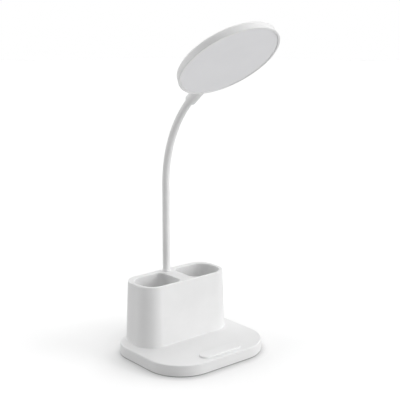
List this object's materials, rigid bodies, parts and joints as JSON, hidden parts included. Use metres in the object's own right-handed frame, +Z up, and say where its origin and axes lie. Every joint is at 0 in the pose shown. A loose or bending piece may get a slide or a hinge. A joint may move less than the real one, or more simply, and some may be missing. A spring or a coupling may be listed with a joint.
{
  "type": "desk lamp with pen cup base",
  "caption": "Desk lamp with a round light on a flexible neck, standing on a rounded base plate that carries a pen holder and a touch pad.",
  "frame": {"origin": "on the floor plane, under the middle of the base plate", "axes": "+X to the right as seen from the front, along the base's front edge; +Y to the back, +Z up"},
  "size_m": [0.15, 0.1663, 0.3779],
  "materials": {
    "white_plastic": "fine satin moulding",
    "cover_plastic": "fine matt moulding",
    "pad_plastic": "smooth satin",
    "neck_rubber": "smooth white silicone",
    "foot_rubber": "matt",
    "frosted_plastic": "frosted light diffuser",
    "steel": "zinc plated",
    "ballast_iron": "stamped plate",
    "cell_wrap": "shrink wrap",
    "board_green": "circuit board lacquer",
    "board_aluminium": "white lacquer on sheet",
    "led_plastic": "phosphor cap",
    "wire_plastic": "wire insulation"
  },
  "bodies": {
    "base": {"base_housing": "white_plastic", "base_cover": "cover_plastic", "cover_screws": "steel", "ballast_plate": "ballast_iron", "battery": "cell_wrap", "battery_lead": "wire_plastic", "control_board": "board_green", "charging_socket": "steel", "touch_pad": "pad_plastic", "touch_board": "board_green", "touch_lead": "wire_plastic", "neck_collar": "white_plastic", "root_stud": "steel", "root_nut": "steel", "neck_lead": "wire_plastic", "foot_front_left": "foot_rubber", "foot_front_right": "foot_rubber", "foot_back_left": "foot_rubber", "foot_back_right": "foot_rubber", "neck_root": "neck_rubber"},
    "neck_01": {"neck_link_01": "neck_rubber"},
    "neck_02": {"neck_link_02": "neck_rubber"},
    "neck_03": {"neck_link_03": "neck_rubber"},
    "neck_04": {"neck_link_04": "neck_rubber"},
    "neck_05": {"neck_link_05": "neck_rubber"},
    "neck_06": {"neck_link_06": "neck_rubber"},
    "neck_07": {"neck_link_07": "neck_rubber"},
    "neck_08": {"neck_link_08": "neck_rubber"},
    "neck_09": {"neck_link_09": "neck_rubber"},
    "head": {"neck_end": "neck_rubber", "head_shell": "white_plastic", "diffuser": "frosted_plastic", "led_board": "board_aluminium", "leds": "led_plastic", "head_ferrule": "steel", "grub_screw": "steel", "head_lead": "wire_plastic"}
  },
  "joints": [
    {"name": "neck_bend_01", "type": "hinge", "parent": "base", "child": "neck_01", "pos_m": [0, 0.0495, 0.10813], "axis": [1, 0, 0], "range_deg": [-15, 15]},
    {"name": "neck_sway_02", "type": "hinge", "parent": "neck_01", "child": "neck_02", "pos_m": [0, 0.04938, 0.13051], "axis": [0, 1, 0.0052], "range_deg": [-15, 15]},
    {"name": "neck_bend_03", "type": "hinge", "parent": "neck_02", "child": "neck_03", "pos_m": [0, 0.04927, 0.15289], "axis": [1, 0, 0], "range_deg": [-15, 15]},
    {"name": "neck_sway_04", "type": "hinge", "parent": "neck_03", "child": "neck_04", "pos_m": [0, 0.04915, 0.17527], "axis": [0, 1, 0.0052], "range_deg": [-15, 15]},
    {"name": "neck_bend_05", "type": "hinge", "parent": "neck_04", "child": "neck_05", "pos_m": [0, 0.04903, 0.19765], "axis": [1, 0, 0], "range_deg": [-15, 15]},
    {"name": "neck_sway_06", "type": "hinge", "parent": "neck_05", "child": "neck_06", "pos_m": [0, 0.04631, 0.2166], "axis": [0, 0.9611, 0.2762], "range_deg": [-15, 15]},
    {"name": "neck_bend_07", "type": "hinge", "parent": "neck_06", "child": "neck_07", "pos_m": [0, 0.04102, 0.235], "axis": [1, 0, 0], "range_deg": [-15, 15]},
    {"name": "neck_sway_08", "type": "hinge", "parent": "neck_07", "child": "neck_08", "pos_m": [0, 0.03327, 0.2525], "axis": [0, 0.8502, 0.5265], "range_deg": [-15, 15]},
    {"name": "neck_bend_09", "type": "hinge", "parent": "neck_08", "child": "neck_09", "pos_m": [0, 0.02319, 0.26878], "axis": [1, 0, 0], "range_deg": [-15, 15]},
    {"name": "neck_sway_10", "type": "hinge", "parent": "neck_09", "child": "head", "pos_m": [0, 0.01098, 0.28353], "axis": [0, 0.6756, 0.7373], "range_deg": [-15, 15]}
  ],
  "couplings": [
    {"joint": "neck_bend_03", "follows": "neck_bend_01", "ratio": 1},
    {"joint": "neck_sway_04", "follows": "neck_sway_02", "ratio": 1},
    {"joint": "neck_bend_05", "follows": "neck_bend_01", "ratio": 1},
    {"joint": "neck_sway_06", "follows": "neck_sway_02", "ratio": 1},
    {"joint": "neck_bend_07", "follows": "neck_bend_01", "ratio": 1},
    {"joint": "neck_sway_08", "follows": "neck_sway_02", "ratio": 1},
    {"joint": "neck_bend_09", "follows": "neck_bend_01", "ratio": 1},
    {"joint": "neck_sway_10", "follows": "neck_sway_02", "ratio": 1}
  ]
}
